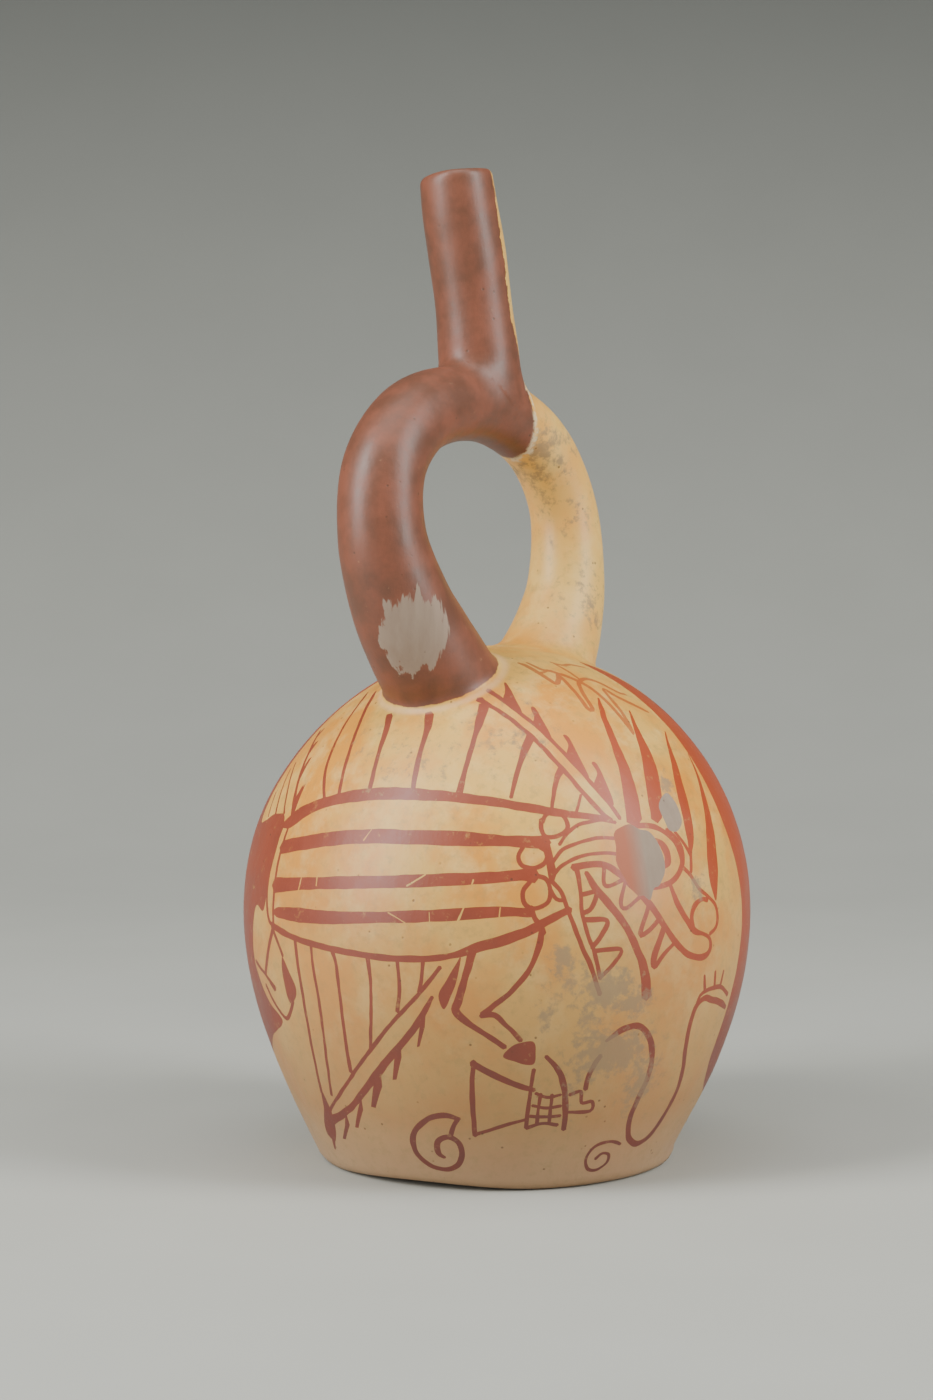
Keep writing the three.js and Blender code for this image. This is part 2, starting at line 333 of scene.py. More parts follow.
# The tendril that loops down behind the head, with a small hand at its end
paint(RED,
    stroke(2, (25, 51, 1), (29, 54), (33.4, 54.4), (36.8, 50.6), (39, 44.4), (39.4, 38), (38.2, 31),
           (37.4, 24.4),
           (38.8, 18.4), (42, 14.9), (45.4, 14.5), (49, 17.2), (51.8, 24), (53, 31), (52.2, 38), (50.6, 45),
           (50, 52), (51, 57.4), (53.8, 59.4), (58, 58), (63, 56), (66.5, 54, 1.4)),
    stroke(1.4, (50.8, 57), (51.8, 60.6), (55, 61.8), (60.6, 61.4), (66, 58)),
    stroke(1.3, (53.4, 61.6), (52.8, 64), (52.4, 66.4, 1)),
    stroke(1.3, (57.4, 62), (57.2, 64.4), (56.9, 66.8, 1)),
    stroke(1.3, (60.2, 61.6), (60.6, 64), (61, 66.2, 1)),
)

# A hatched rattle beside the foot, and small scrolls low on the wall
paint(RED,
    stroke(1.5, (-5.8, 46), (-6.4, 38), (-6.4, 30), (-6.2, 21.4)),
    stroke(2, (-6.2, 45.4), (-1, 41.6), (4, 38.6), (8.6, 36.6, 1.4)),
    stroke(1.2, (-6.2, 21.8), (0, 24.4), (7.2, 27)),
    stroke(1.2, (8.2, 43.4), (7.6, 35), (7.2, 24)),
    stroke(1.2, (7.2, 24), (11.5, 25.4), (15.6, 24.6)),
    stroke(1.8, (10.8, 47.4, 1.2), (14, 43), (16, 37), (17.2, 29), (17.5, 22.8, 1.4)),
    stroke(1.1, (9, 35.6), (12, 34.2), (15.4, 34.8)),
    stroke(1.1, (8.4, 31.6), (12, 30.6), (15.8, 31)),
    stroke(1.1, (8, 28), (12, 27.6), (16, 27.8)),
    stroke(1.1, (10.3, 35.4), (10, 30), (10, 25)),
    stroke(1.1, (13.2, 35), (13.2, 30), (13.2, 25.4)),
    stroke(1.5, (21.6, 36), (21.8, 40), (23, 44, 1.8), (24.2, 46.6)),
    stroke(1.2, (17.6, 34.6), (20.4, 35.4), (21.2, 31.6), (24, 31.8), (24, 28.6), (17.8, 28.8)),
    stroke(1.8, (-10, 27, 1.2), (-14, 28), (-19, 26), (-23.6, 20.4), (-23.6, 13.6), (-20, 9.2),
           (-15, 8.2), (-11.4, 11),
           (-10.2, 15.4), (-11.2, 19.2), (-14, 20.6), (-16.8, 18.6), (-17, 14.6), (-15.4, 13, 1.2)),
    stroke(1.4, (-10.4, 27), (-12, 24), (-13, 20.6)),
    stroke(1.1, (37, 15.4), (33, 17), (28.4, 16), (26.2, 12), (27.6, 8.2), (31, 7.4), (34, 9.4), (33.8, 12.2),
           (31.4, 13), (29.4, 11.4)),
)

# Feathered scrolls at the left end, half under the shoulder's rubbed slip
paint(RED,
    stroke(1.7, (-59.6, 111, 2.2), (-64, 119), (-70, 128.4), (-75, 134), (-80.5, 138.4, 1.2)),
    corners((-59.4, 112), (-60.4, 121.4), (-61.6, 120.6), (-62.4, 116)),
    corners((-64.6, 120), (-66.8, 129.8), (-68, 129), (-67.8, 125)),
    corners((-70, 128), (-71.8, 135.4), (-73.2, 134.6), (-73.4, 132)),
    corners((-76, 134.6), (-77.4, 140), (-78.4, 139.2), (-78.6, 136.8)),
    stroke(1, (-64.6, 111.4), (-71, 120), (-78, 126.4)),
    stroke(1, (-70, 110.6), (-74, 117), (-79, 124)),
    stroke(1, (-75, 108.8), (-79, 116)),
)

# Looping scrolls on the right of the shoulder, in a lighter slip
paint(THIN,
    stroke(1.8, (17, 177.2, 1), (22, 174.4), (27, 168), (30, 163.6), (34, 165.4), (38, 168.4), (42, 166.4),
           (46, 162.4), (48, 157.6), (48.2, 147), (47.9, 140, 1), (50.2, 146.4), (53, 156), (55.2, 158.2),
           (58, 154.2), (63, 150), (67.5, 146.4, 1)),
    stroke(1.5, (24.4, 177.2, 0.9), (30, 171.8), (35, 170.6), (38.4, 168.6)),
    stroke(1.2, (24, 170.2), (28.4, 170), (34, 171.4)),
    stroke(1.6, (37, 167.6), (36.4, 158), (36, 151.2), (38, 151), (39.6, 157), (42.2, 161.4), (46, 163.6),
           (52, 164.4), (57.4, 162), (62, 156.4), (66, 154.6, 1)),
    stroke(1.5, (46, 176, 1), (52, 173.2), (60, 173), (70, 170, 1)),
    stroke(1.3, (47, 175), (47.3, 170), (47.4, 165)),
)

# Old thin scratches across the stripes, down to the cream slip
scratches = [
    stroke(0.4, (-9, 86), (-7.4, 91), (-5.6, 98)),
    stroke(0.4, (-20.6, 95.6), (-16.4, 99)),
    stroke(0.4, (-15, 86), (-15.1, 88.6)),
    stroke(0.35, (-24.6, 88), (-20.4, 85.4)),
    stroke(0.4, (-44.4, 93.2), (-44.6, 96.4)),
    stroke(0.4, (-50.2, 90.8), (-49.7, 94.8)),
    stroke(0.35, (0, 87.4), (0.3, 90.4)),
    stroke(0.35, (-33, 107.4), (-31.4, 110.8)),
]
paint(CREAM, *scratches, both_sides=False)

# Two old losses on the front, filled by a restorer with toned plaster
fills = [
    field((28, 110), (30.4, 111.6), (33, 112), (35.4, 110.4), (38, 109.4), (40.2, 104.4), (40.4, 98.4),
          (38.2, 94.2),
          (36.6, 93.6), (35, 90.4), (33.4, 91.8), (31.8, 92), (29.2, 96.2), (27.4, 101.4), (27.8, 106)),
    field((43.4, 116), (45, 118.4), (48, 120), (49.6, 118), (50.2, 114.6), (49.8, 111), (47.2, 108.6),
          (44.6, 109), (43.8, 112)),
]
paint(FILLER, *fills, both_sides=False)


# ---- The body's surface ----------------------------------------------------------------------------
# The vessel is one piece of clay, so body, stirrup and spout are made as one closed skin. The wall is
# unrolled to a sheet, the strokes are cut into it, and it is rolled up again and closed at both ends.

# Heights on the sheet are stretched so that it keeps every angle of the wall, and triangles stay round.
two_radii = profile[1:, 0] + profile[:-1, 0]
stretched = np.concatenate([[0], np.cumsum(np.diff(rise_at) * 2 * belly_radius / two_radii)])
dome = slice(-dome_steps - 1, None)


def stretch(points):
    return np.stack([points[:, 0], np.interp(points[:, 1], rise_at, stretched)], 1)


def unstretch(points):
    return np.stack([points[:, 0], np.interp(points[:, 1], stretched, rise_at)], 1)


def onto_sheet(x, y):
    """The sheet's points under places of the dome seen from above, in mm."""
    turn = (np.degrees(np.arctan2(y, x) - front) - (seam - 360)) % 360 + seam - 360
    rise = np.interp(np.hypot(x, y), profile[dome][::-1, 0], rise_at[dome][::-1])
    return np.stack([turn * sheet_scale, rise], 1)


def hexagons(low, high, gap):
    """Points of a honeycomb, gap apart."""
    x, y = np.meshgrid(np.arange(low, high, gap), np.arange(low, high, gap * 0.866))
    x[1::2] += gap / 2
    return x.ravel(), y.ravel()


def clip(outline, edge, side):
    """The part of an outline on one side of an upright line of the sheet."""
    kept = []
    for a, b in zip(outline, np.roll(outline, -1, 0)):
        inside_a, inside_b = (side * (p[0] - edge) > 0 for p in (a, b))
        if inside_a:
            kept.append(a)
        if inside_a != inside_b:
            kept.append(a + (b - a) * (edge - a[0]) / (b[0] - a[0]))
            kept[-1][0] = edge
    return np.array(kept).reshape(-1, 2)


def inside(outline, points):
    """Which points an outline goes round."""
    hits = np.flatnonzero(np.all((points > outline.min(0)) & (points < outline.max(0)), 1))
    winding = np.zeros(len(hits), int)
    x, y = points[hits].T
    for a, b in zip(outline, np.roll(outline, -1, 0)):
        if a[1] != b[1]:
            left = (b[0] - a[0]) * (y - a[1]) > (x - a[0]) * (b[1] - a[1])
            winding += (a[1] <= y) & (y < b[1]) & left
            winding -= (b[1] <= y) & (y < a[1]) & ~left
    return hits[winding != 0]


sheet_edges = (seam - 360) * sheet_scale, seam * sheet_scale
outlines = []
for tone, outline in painting:
    outline = clip(clip(outline, sheet_edges[0], 1), sheet_edges[1], -1)
    if len(outline) > 2:
        outlines.append((tone, stretch(outline)))

clay_rows = 104
clay_gap = 1.9
top_gap = 2.2

clay = []
for number, rise in enumerate(np.linspace(0, top_rise - top_gap, clay_rows)):
    count = max(12, round(2 * math.pi * wall_radius(rise) / clay_gap))
    x = (seam - 360 + 360 * (np.arange(count) + number % 2 / 2) / count) * sheet_scale
    x = np.unique(np.concatenate([sheet_edges, x]))
    clay.append(np.stack([x, np.full(len(x), rise)], 1))
clay = np.concatenate(clay)
inner = (clay[:, 0] > sheet_edges[0]) & (clay[:, 0] < sheet_edges[1]) & (clay[:, 1] > 0)

# The legs of the stirrup land on the dome here, so the skin is finer for their joints.
place = on_wall(clay[:, 0] / sheet_scale, clay[:, 1])
for across, reach in ((-29, 22), (23.5, 20)):
    near = (np.hypot(place[:, 0] - across, place[:, 1]) < reach) & inner & (place[:, 2] > 110)
    clay, inner, place = clay[~near], inner[~near], place[~near]
    x, y = hexagons(-reach, reach, 0.95)
    ring = (np.hypot(x, y) < reach) & (np.hypot(x, y) > 8)
    fine = onto_sheet(x[ring] + across, y[ring])
    clay = np.concatenate([clay, fine])
    inner = np.concatenate([inner, np.ones(len(fine), bool)])
    place = np.concatenate([place, np.full((len(fine), 3), 1e3)])
clay = stretch(clay)

brushed = np.concatenate([outline for tone, outline in outlines])
drawn = kdtree.KDTree(len(brushed))
for number, point in enumerate(brushed):
    drawn.insert((*point, 0), number)
drawn.balance()
room = np.array([drawn.find((*p, 0))[2] for p in clay])
narrow = squeeze(unstretch(clay)[:, 1])
clay = clay[~inner | (room * narrow > 0.45)]

sheet_points, sheet_lines = [clay], []
start = len(clay)
for tone, outline in outlines:
    around = np.arange(start, start + len(outline))
    sheet_lines += list(zip(around.tolist(), np.roll(around, -1).tolist()))
    sheet_points.append(outline)
    start += len(outline)
points, _, faces = delaunay_2d_cdt(
    [Vector(p) for p in np.concatenate(sheet_points)], sheet_lines, [], 0, 1e-4, False
)[:3]
points = np.array([tuple(p) for p in points])
faces = np.array(faces)
middles = points[faces].mean(1)
tones = np.zeros(len(faces))
for tone, outline in outlines:
    tones[inside(outline, middles)] = tone

flat = unstretch(points)
skin_points = on_wall(flat[:, 0] / sheet_scale, flat[:, 1])
skin_faces = faces.tolist()

# The dome is closed by a fan round its top, and the foot by a level underside.
top_ring = np.flatnonzero(flat[:, 1] > top_rise - top_gap - 0.1)
top_ring = top_ring[np.argsort(flat[top_ring, 0])].tolist()
skin_points = np.concatenate([skin_points, [[0, 0, profile[-1, 1]]]])
skin_faces += [[a, b, len(skin_points) - 1] for a, b in zip(top_ring, top_ring[1:])]

rim = np.flatnonzero(flat[:, 1] < 1e-3)
rim = rim[np.argsort(flat[rim, 0])][:-1]
x, y = hexagons(-60, 60, 3.6)
under = np.stack([x, y], 1)[np.hypot(x, y) < profile[0, 0] - 2]
under = np.concatenate([skin_points[rim, :2], under])
points, _, faces = delaunay_2d_cdt([Vector(p) for p in under], [], [], 0, 1e-5, False)[:3]
offset = len(skin_points)
skin_points = np.concatenate([skin_points, [(*p, 0) for p in points]])
skin_faces += [[a + offset, c + offset, b + offset] for a, b, c in faces]
tones = np.concatenate([tones, np.zeros(len(skin_faces) - len(tones))])


def skin_object(name, points, faces, **face_values):
    """A mesh object from points in mm, its doubled points merged."""
    mesh = bpy.data.meshes.new(name)
    mesh.from_pydata(np.asarray(points) * MM, [], faces)
    for title, values in face_values.items():
        mesh.attributes.new(title, "FLOAT", "FACE").data.foreach_set("value", values)
    whole = bmesh.new()
    whole.from_mesh(mesh)
    bmesh.ops.remove_doubles(whole, verts=whole.verts, dist=2e-6)
    bmesh.ops.dissolve_degenerate(whole, edges=whole.edges, dist=1e-6)
    whole.to_mesh(mesh)
    whole.free()
    obj = bpy.data.objects.new(name, mesh)
    bpy.context.scene.collection.objects.link(obj)
    return obj


body = skin_object("bottle_body", skin_points, skin_faces, slip=tones)


# ---- Stirrup and spout -----------------------------------------------------------------------------
# Two tubes of clay, rolled round a stick and bent by hand while soft: an arched stirrup on two legs and
# an upright spout on its crown. They were luted to the body leather-hard and the joints wiped smooth.

plane_lean = math.radians(5)
plane_foot = 146.0
tube_wall = 3.8
lip_round = 1.8
lip_fall = 2.8
# stations in the leaning plane: across, up, outer radius
stirrup_stations = [
    (-19, -14, 16.5), (-28.8, -3, 16.3), (-37.4, 8, 15.6), (-44.1, 18.5, 14.6), (-50.9, 38.6, 12.7),
    (-47.8, 57.2, 12), (-33.7, 70.2, 11.6), (-12.7, 74.5, 11.1), (9.2, 71.2, 10.3), (28.9, 60.1, 10.1),
    (38.8, 42, 10.2), (37.7, 19.8, 11.7), (32.6, 8.3, 13), (24.1, -2.9, 14.6), (13, -12.5, 16),
]
spout_stations = [
    (2.3, 72, 10.4), (1.9, 79, 11.7), (1.4, 88, 11.9), (0.6, 102, 11.3), (-1, 118.7, 11.4), (-2.8, 130.3, 11.1),
]
spout_top = (-3.5, 141.6, 10.7)


def tube_path(stations, gap):
    """The bent path of a tube through its stations, as rows of (x, y, z, radius) about gap mm apart."""
    across, up, radius = np.array(stations, float).T
    p = np.stack([across, up * math.sin(plane_lean), plane_foot + up * math.cos(plane_lean), radius], 1)
    p = np.concatenate([2 * p[:1] - p[1:2], p, 2 * p[-1:] - p[-2:-1]])
    pace = np.sqrt(np.linalg.norm(np.diff(p[:, :3], axis=0), axis=1))
    path = []
    for a, b, c, d, u, v, w in zip(p, p[1:], p[2:], p[3:], pace, pace[1:], pace[2:]):
        leave = v * ((b - a) / u - (c - a) / (u + v) + (c - b) / v)
        arrive = v * ((c - b) / v - (d - b) / (v + w) + (d - c) / w)
        t = np.linspace(0, 1, max(1, round(np.linalg.norm((c - b)[:3]) / gap)), endpoint=False)[:, None]
        bend = (3 * (c - b) - 2 * leave - arrive) * t**2
        path.append(b + leave * t + bend + (2 * (b - c) + leave + arrive) * t**3)
    return np.concatenate([*path, p[-2:-1]])


def lip_stations(turned):
    """The last stations of the spout: -1 rounds its outside in, +1 rounds its bore out."""
    across, up, radius = spout_top
    angle = np.linspace(0, math.pi / 2, 7)
    return [
        (across, up - lip_fall * (1 - math.sin(a)), radius + turned * lip_round * (1 - math.cos(a)))
        for a in angle
    ]


def add(tree, kind, inputs=None, **settings):
    """A node with its settings. Each input is given a value, or the socket of another node to follow."""
    node = tree.nodes.new(kind)
    for name, value in settings.items():
        setattr(node, name, value)
    for name, given in (inputs or {}).items():
        if isinstance(given, bpy.types.NodeSocket):
            tree.links.new(given, node.inputs[name])
        else:
            node.inputs[name].default_value = given
    return node


clay_of_tubes = bpy.data.materials.new("tube_clay")

tube_tree = bpy.data.node_groups.new("rolled_tube", "GeometryNodeTree")
for title, kind in (("Path", "NodeSocketGeometry"), ("Wall", "NodeSocketFloat"), ("Sides", "NodeSocketInt")):
    tube_tree.interface.new_socket(title, in_out="INPUT", socket_type=kind)
tube_tree.interface.new_socket("Tube", in_out="OUTPUT", socket_type="NodeSocketGeometry")
given = add(tube_tree, "NodeGroupInput")
bend = add(tube_tree, "GeometryNodeInputRadius")
thin_inputs = {0: bend.outputs[0], 1: given.outputs["Wall"]}
thinned = add(tube_tree, "ShaderNodeMath", thin_inputs, operation="SUBTRACT")
section_inputs = {"Resolution": given.outputs["Sides"], "Radius": 1.0}
section = add(tube_tree, "GeometryNodeCurvePrimitiveCircle", section_inputs)
rolled = add(tube_tree, "GeometryNodeCurveToMesh", {
    "Curve": given.outputs["Path"], "Profile Curve": section.outputs[0], "Scale": thinned.outputs[0], "Fill Caps": True,
})
made = add(tube_tree, "GeometryNodeRealizeInstances", {0: rolled.outputs[0]})
dressed = add(tube_tree, "GeometryNodeSetMaterial", {"Geometry": made.outputs[0], "Material": clay_of_tubes})
add(tube_tree, "NodeGroupOutput", {0: dressed.outputs[0]})


def roll_tube(name, path, wall, sides):
    """A closed solid tube along a path, as a plain mesh object."""
    curve = bpy.data.curves.new(name, "CURVE")
    curve.dimensions = "3D"
    spline = curve.splines.new("POLY")
    spline.points.add(len(path) - 1)
    spline.points.foreach_set("co", np.column_stack([path[:, :3] * MM, np.ones(len(path))]).ravel())
    spline.points.foreach_set("radius", path[:, 3] * MM)
    obj = bpy.data.objects.new(name, curve)
    bpy.context.scene.collection.objects.link(obj)
    rolling = obj.modifiers.new("rolled", "NODES")
    rolling.node_group = tube_tree
    sockets = {item.name: item.identifier for item in tube_tree.interface.items_tree if item.in_out == "INPUT"}
    rolling[sockets["Wall"]] = wall * MM
    rolling[sockets["Sides"]] = sides
    seen = obj.evaluated_get(bpy.context.evaluated_depsgraph_get())
    mesh = bpy.data.meshes.new_from_object(seen)
    obj.modifiers.remove(rolling)
    bpy.data.objects.remove(obj)
    whole = bmesh.new()
    whole.from_mesh(mesh)
    bmesh.ops.remove_doubles(whole, verts=whole.verts, dist=1e-6)
    bmesh.ops.triangulate(whole, faces=whole.faces)
    bmesh.ops.recalc_face_normals(whole, faces=whole.faces)
    whole.to_mesh(mesh)
    whole.free()
    tube = bpy.data.objects.new(name, mesh)
    bpy.context.scene.collection.objects.link(tube)
    return tube


ring_gap = 1.25
stirrup_path = tube_path(stirrup_stations, ring_gap)
spout_path = tube_path(spout_stations + lip_stations(-1), ring_gap)
stirrup = roll_tube("stirrup", stirrup_path, 0, 64)
spout = roll_tube("spout", spout_path, 0, 60)


def combine(base, other, how):
    """Joins a second solid to a first, or cuts it out of it."""
    joint = base.modifiers.new("joint", "BOOLEAN")
    joint.operation, joint.object, joint.solver = how, other, "MANIFOLD"
    seen = base.evaluated_get(bpy.context.evaluated_depsgraph_get())
    mesh = bpy.data.meshes.new_from_object(seen)
    base.modifiers.remove(joint)
    base.data = mesh
    bpy.data.objects.remove(other)


combine(body, stirrup, "UNION")
combine(body, spout, "UNION")


# ---- Wiped joints and hand-made wall ---------------------------------------------------------------
# Where tube meets body or tube meets tube, the potter pressed in a thread of clay and wiped it round.
# Nothing on the bottle is quite round or even, and its foot was cut a little askew.


def read_places(mesh):
    values = np.empty(len(mesh.vertices) * 3)
    mesh.vertices.foreach_get("co", values)
    return values.reshape(-1, 3)


def depth_in_body(p):
    """How far points are outside the wall of the body, in mm."""
    flat = np.stack([np.hypot(p[:, 0], p[:, 1]), p[:, 2]], 1)
    nearest = np.full(len(p), 1e9)
    for start, step in zip(profile[:-1], np.diff(profile, axis=0)):
        along = np.clip(((flat - start) @ step) / (step @ step), 0, 1)
        nearest = np.minimum(nearest, np.linalg.norm(flat - start - along[:, None] * step, axis=1))
    outside = (flat[:, 0] > np.interp(flat[:, 1], profile[:, 1], profile[:, 0])) | (flat[:, 1] > profile[-1, 1])
    return np.where(outside, nearest, -nearest)


def depth_in_tube(p, path):
    """How far points are outside a tube, in mm, and the number of the nearest place on its path."""
    depth, which = np.full(len(p), 1e9), np.zeros(len(p), int)
    for number, place in enumerate(path):
        d = np.linalg.norm(p - place[:3], axis=1) - place[3]
        closer = d < depth
        depth[closer], which[closer] = d[closer], number
    return depth, which


def filled(a, b, reach):
    """The smaller of two depths, with the corner between their surfaces filled in."""
    corner = np.maximum(reach - np.abs(a - b), 0)
    return np.minimum(a, b) - corner**2 / (4 * reach)


def wiped_depth(p):
    on_crown = 6 * np.clip((p[:, 2] - 213) / 6, 0.02, 1)
    tubes = filled(depth_in_tube(p, stirrup_path)[0], depth_in_tube(p, spout_path[6:])[0], on_crown)
    return filled(tubes, depth_in_body(p), 3)


skin = body.data
places = read_places(skin) / MM
in_body = depth_in_body(places)
in_stirrup, along_stirrup = depth_in_tube(places, stirrup_path)
in_spout, along_spout = depth_in_tube(places, spout_path)

raw = np.minimum(np.minimum(in_stirrup, in_spout), in_body)
corner = np.flatnonzero(wiped_depth(places) < raw - 1e-3)
wiped = places[corner]
for _ in range(4):
    slope = np.stack([
        wiped_depth(wiped + 0.02 * axis) - wiped_depth(wiped - 0.02 * axis) for axis in np.eye(3)
    ], 1) / 0.04
    short = raw[corner] - wiped_depth(wiped)
    wiped += slope * (short / np.maximum((slope**2).sum(1), 0.2))[:, None]
places[corner] = wiped

# distances in mm for the slips: onto the handle, and into its dark slip
handle = in_body - np.minimum(in_stirrup, in_spout)
up = (places[:, 2] - plane_foot) / math.cos(plane_lean)
across_crown = (13.2 - places[:, 0]) * 0.985 + (70 - up) * 0.172
across_crown = np.where(places[:, 0] > 0, np.minimum(across_crown, up - 45), across_crown)
past_axis = 2.8 + 5.5 * np.clip((98 - up) / 14, 0, 1) + 2.4 * np.clip((up - 125) / 12, 0, 1)
down_spout = spout_path[along_spout, 0] + past_axis - places[:, 0]
dark = np.where(in_spout < in_stirrup, np.minimum(across_crown, down_spout), across_crown)


def swell(x, middle, half):
    """A smooth bump, 1 in the middle and 0 at half either side."""
    return np.cos(np.clip((x - middle) / half, -1, 1) * math.pi / 2) ** 2


skin.vertices.foreach_set("co", (places * MM).ravel())
skin.update()
outwards = np.array([normal.vector for normal in skin.vertex_normals])
turn = (np.degrees(np.arctan2(places[:, 1], places[:, 0]) - front) + 180) % 360 - 180
radius = np.hypot(places[:, 0], places[:, 1])
height = places[:, 2]
uneven = np.array([
    0.13 * (1 + noise.noise(Vector(p) / 24)) + 0.05 * (1 + noise.noise(Vector(p) / 8)) for p in places
])
uneven += (handle < 0) * (
    1.3 * swell(turn, -90, 45) * swell(height, 132, 40)
    + 1.1 * swell(turn, 92, 60) * np.clip((26 - height) / 20, 0, 1)
)
uneven *= np.clip(height / 3, 0, 1)
places -= outwards * uneven[:, None]
lifted = 1.5 * swell(turn, -25, 42) * np.clip((radius - 30) / 20, 0, 1) * np.clip((13 - height) / 13, 0, 1)
places[:, 2] = np.maximum(places[:, 2], 0) + lifted
# Level directions from the painted front: straight in, and to the right
ahead = np.array([0.809, 0.588, 0.0])
sidewards = np.array([0.588, -0.809, 0.0])
# The lip is worn down on its left
left_of_spout = np.clip(-((places - spout_path[-1, :3]) @ sidewards) / 10, 0, 1)
places[:, 2] -= 1.5 * left_of_spout**2 * np.clip((height - 277) / 9, 0, 1)
skin.vertices.foreach_set("co", (places * MM).ravel())

# Where dirt has soaked into the slip: turn, rise, half width, half height in mm, and how much
stained = np.full(len(places), -1.0)
stain_places = [
    (14, 76, 5, 4, 0.6), (15, 69, 3, 6, 0.5), (10, 60, 3, 7, 0.4), (24, 66, 9, 6, 0.7), (31, 62, 6, 5, 0.6),
    (27, 47, 12, 7, 0.75), (38, 36, 7, 9, 0.45), (20, 56, 5, 4, 0.45), (50, 92, 4, 4, 0.5), (49, 122, 3, 3, 0.6),
    (18, 38, 3, 9, 0.3), (-26, 132, 9, 6, 0.1), (4, 143, 9, 6, 0.15), (-150, 60, 14, 12, 0.5), (150, 95, 9, 14, 0.3),
]
for t, r, wide, high, amount in stain_places:
    middle = on_wall(np.array([t]), np.array([r]))[0]
    sideways = places @ np.array([-math.sin(front + math.radians(t)), math.cos(front + math.radians(t)), 0])
    away = np.sqrt((sideways / wide) ** 2 + ((height - middle[2]) / high) ** 2)
    facing = np.cos(np.radians(turn - t)) > 0.3
    stained = np.maximum(stained, np.where(facing & (handle < 0), amount * (1.4 - away), -1))
for x, y, z, wide, amount in (
    (27, 4, 203, 9, 0.6), (19, -2, 207, 7, 0.5), (35, 0, 188, 7, 0.25), (33, -8, 160, 8, 0.3), (-30, 10, 214, 9, 0.1),
):
    away = np.linalg.norm(places - [x, y, z], axis=1) / wide
    stained = np.maximum(stained, np.where(handle > 0, amount * (1.4 - away), -1))

# A loss on the front of the thick leg, filled and brushed over by a restorer
from_patch = places - [-52.8, -8.8, 157.4]
patch = 1 - np.sqrt(
    (from_patch @ sidewards / 9.6) ** 2 + (from_patch[:, 2] / 12.2) ** 2 + (from_patch @ ahead / 16) ** 2
)
# How the red slip's tone varies round the body: brightest and most orange high on the right of each painted side
bright = swell((turn + 90) % 180 - 90, 55, 60) * np.clip((height - 40) / 70, 0, 1)

marks = {"handle": handle, "dark": dark, "stained": stained, "patch": patch, "bright": bright, "turn": turn}
for title, values in marks.items():
    skin.attributes.new(title, "FLOAT", "POINT").data.foreach_set("value", np.clip(values, -180, 180))
skin.update()


# ---- The hollow ------------------------------------------------------------------------------------
# Inside, the bottle is empty from its floor to the lip: a round hollow with walls of 5 mm and the bores
# of the three tubes, which run into it and into one another.

body_wall = 5.0
floor_thickness = 6.5


def turned_solid(name, outline, sides):
    """A closed solid of revolution from (radius, height) in mm, from its foot to its top on the axis."""
    angle = np.arange(sides) / sides * 2 * math.pi
    points = [(0, 0, outline[0][1])]
    for radius, height in outline[1:-1]:
        points += [(radius * math.cos(a), radius * math.sin(a), height) for a in angle]
    points.append((0, 0, outline[-1][1]))
    faces = []
    for i in range(sides):
        j = (i + 1) % sides
        faces.append((0, 1 + j, 1 + i))
        for ring in range(len(outline) - 3):
            low, high = 1 + ring * sides, 1 + (ring + 1) * sides
            faces.append((low + i, low + j, high + j, high + i))
        last = 1 + (len(outline) - 3) * sides
        faces.append((last + i, last + j, len(points) - 1))
    return skin_object(name, points, faces)


# The body's wall moved inwards, from where it meets the floor to the top
slope = np.gradient(profile, axis=0)
slope /= np.linalg.norm(slope, axis=1)[:, None]
within = profile + np.stack([-slope[:, 1], slope[:, 0]], 1) * body_wall
within = within[(within[:, 1] > floor_thickness + 1.5) & (within[:, 0] > 1)][::9]
floor_radius = within[0][0] - 3
hollow_top = profile[-1, 1] - body_wall
hollow_outline = [(0, floor_thickness), (floor_radius, floor_thickness), *within, (0, hollow_top)]
hollow = turned_solid("hollow", hollow_outline, 64)
bore_end = (spout_top[0], spout_top[1] + 3, spout_top[2] + lip_round)
bore = tube_path(spout_stations + lip_stations(1) + [bore_end], 1.6)
combine(hollow, roll_tube("stirrup_bore", tube_path(stirrup_stations, 3), tube_wall, 32), "UNION")
combine(hollow, roll_tube("spout_bore", bore, tube_wall, 48), "UNION")
bare = hollow.data.attributes.get("slip") or hollow.data.attributes.new("slip", "FLOAT", "FACE")
bare.data.foreach_set("value", [-1.0] * len(hollow.data.polygons))
combine(body, hollow, "DIFFERENCE")

bottle = body
bottle.name = bottle.data.name = "painted_bottle"


# ---- Slips and fired clay --------------------------------------------------------------------------
# Earthenware fired in the open, dressed with a cream slip and burnished with a pebble, which leaves a
# low, silky sheen. The red-brown slips of the painting and the handle are burnished over the same clay.


def colour(hex_code):
    """A colour from its sRGB hex value, turned linear."""
    parts = [int(hex_code[i : i + 2], 16) / 255 for i in (0, 2, 4)]
    return [p / 12.92 if p <= 0.04045 else ((p + 0.055) / 1.055) ** 2.4 for p in parts] + [1.0]


# Burnished slip on earthenware: a silky sheen, cloudy colour, fine grit, and old dirt in its pores
burnished = bpy.data.materials.new("burnished_slip_on_earthenware")
burnished.use_nodes = True
tree = burnished.node_tree
tree.nodes.clear()
object_place = add(tree, "ShaderNodeTexCoord").outputs["Object"]
above_ground = add(tree, "ShaderNodeSeparateXYZ", {0: object_place}).outputs[2]
drawn_out = add(tree, "ShaderNodeMapping", {"Vector": object_place, "Scale": (1, 1, 0.16)}).outputs[0]

